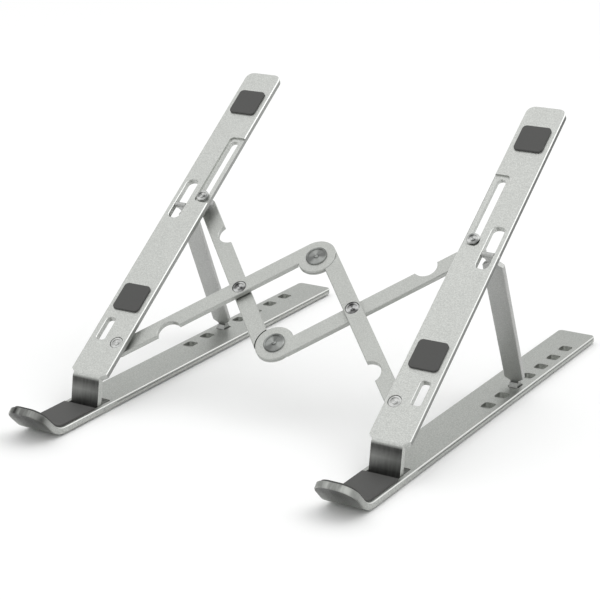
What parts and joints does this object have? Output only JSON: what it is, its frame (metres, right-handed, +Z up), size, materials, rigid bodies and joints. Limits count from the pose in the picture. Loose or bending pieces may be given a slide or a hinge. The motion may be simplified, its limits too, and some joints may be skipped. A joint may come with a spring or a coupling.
{
  "type": "laptop stand",
  "caption": "Foldable laptop stand: two slotted arms hinged on base rails with upturned lips, propped by struts in ratchet notches and joined by a scissor linkage.",
  "frame": {"origin": "on the table, midway between the sides and midway from lip tips to rail ends", "axes": "+X to the user's right, +Y away from the user along the rails, +Z up"},
  "size_m": [0.2126, 0.3152, 0.1591],
  "materials": {
    "bars": "fine sandblasted grey anodised, with bright chamfered edges",
    "links": "satin grey anodised",
    "struts": "satin grey anodised",
    "rivets": "turned",
    "steel": "plain",
    "silicone": "matt dark grey"
  },
  "bodies": {
    "left_rail": {"base_rail_left": "bars", "lip_pad_left": "silicone", "foot_pads_left": "silicone", "hinge_pin_left": "steel"},
    "left_arm": {"arm_left": "bars", "lower_pad_left": "silicone", "upper_pad_left": "silicone", "fixed_rivet_left": "rivets", "fixed_washer_left": "steel", "strut_pin_left": "steel"},
    "left_strut": {"strut_left": "struts"},
    "upper_left_link": {"upper_link_left": "links", "crossing_rivet_left": "rivets", "crossing_washer_left": "steel", "knuckle_rivet_top": "rivets", "lap_washer_top": "steel"},
    "lower_left_link": {"lower_link_left": "links", "slide_rivet_left": "rivets", "slide_bush_left": "steel", "knuckle_rivet_bottom": "rivets", "lap_washer_bottom": "steel"},
    "upper_right_link": {"upper_link_right": "links", "crossing_rivet_right": "rivets", "crossing_washer_right": "steel"},
    "lower_right_link": {"lower_link_right": "links", "slide_rivet_right": "rivets", "slide_bush_right": "steel"},
    "right_rail": {"base_rail_right": "bars", "lip_pad_right": "silicone", "foot_pads_right": "silicone", "hinge_pin_right": "steel"},
    "right_arm": {"arm_right": "bars", "lower_pad_right": "silicone", "upper_pad_right": "silicone", "fixed_rivet_right": "rivets", "fixed_washer_right": "steel", "strut_pin_right": "steel"},
    "right_strut": {"strut_right": "struts"}
  },
  "joints": [
    {"name": "arm_tilt", "type": "hinge", "parent": "left_rail", "child": "left_arm", "pos_m": [-0.09427, -0.10024, 0.0029], "axis": [1, 0, 0], "range_deg": [0, 45]},
    {"name": "left_strut_swing", "type": "hinge", "parent": "left_arm", "child": "left_strut", "pos_m": [-0.09947, 0.00496, 0.09425], "axis": [1, 0, 0], "range_deg": [-79.56, 0]},
    {"name": "scissor_fold", "type": "hinge", "parent": "left_arm", "child": "upper_left_link", "pos_m": [-0.08777, -0.07543, 0.03017], "axis": [0, -0.5878, 0.809], "range_deg": [0, 43]},
    {"name": "left_crossing", "type": "hinge", "parent": "upper_left_link", "child": "lower_left_link", "pos_m": [-0.03628, -0.0297, 0.06117], "axis": [0, -0.5878, 0.809], "range_deg": [-86, 0]},
    {"name": "top_knuckle", "type": "hinge", "parent": "upper_left_link", "child": "upper_right_link", "pos_m": [0, -0.00669, 0.08011], "axis": [0, -0.5878, 0.809], "range_deg": [-86, 0]},
    {"name": "right_crossing", "type": "hinge", "parent": "upper_right_link", "child": "lower_right_link", "pos_m": [0.03628, -0.0297, 0.06117], "axis": [0, -0.5878, 0.809], "range_deg": [0, 86]},
    {"name": "right_arm_turn", "type": "hinge", "parent": "upper_right_link", "child": "right_arm", "pos_m": [0.08777, -0.07543, 0.03017], "axis": [0, -0.5878, 0.809], "range_deg": [0, 43]},
    {"name": "right_rail_tilt", "type": "hinge", "parent": "right_arm", "child": "right_rail", "pos_m": [0.09427, -0.10024, 0.0029], "axis": [1, 0, 0], "range_deg": [-45, 0]},
    {"name": "right_strut_swing", "type": "hinge", "parent": "right_arm", "child": "right_strut", "pos_m": [0.09947, 0.00496, 0.09425], "axis": [1, 0, 0], "range_deg": [-79.56, 0]}
  ],
  "couplings": [
    {"joint": "left_strut_swing", "follows": "arm_tilt", "ratio": -1.7678},
    {"joint": "right_strut_swing", "follows": "arm_tilt", "ratio": -1.7678},
    {"joint": "right_rail_tilt", "follows": "arm_tilt", "ratio": -1},
    {"joint": "left_crossing", "follows": "scissor_fold", "ratio": -2},
    {"joint": "top_knuckle", "follows": "scissor_fold", "ratio": -2},
    {"joint": "right_crossing", "follows": "scissor_fold", "ratio": 2},
    {"joint": "right_arm_turn", "follows": "scissor_fold", "ratio": 1}
  ]
}
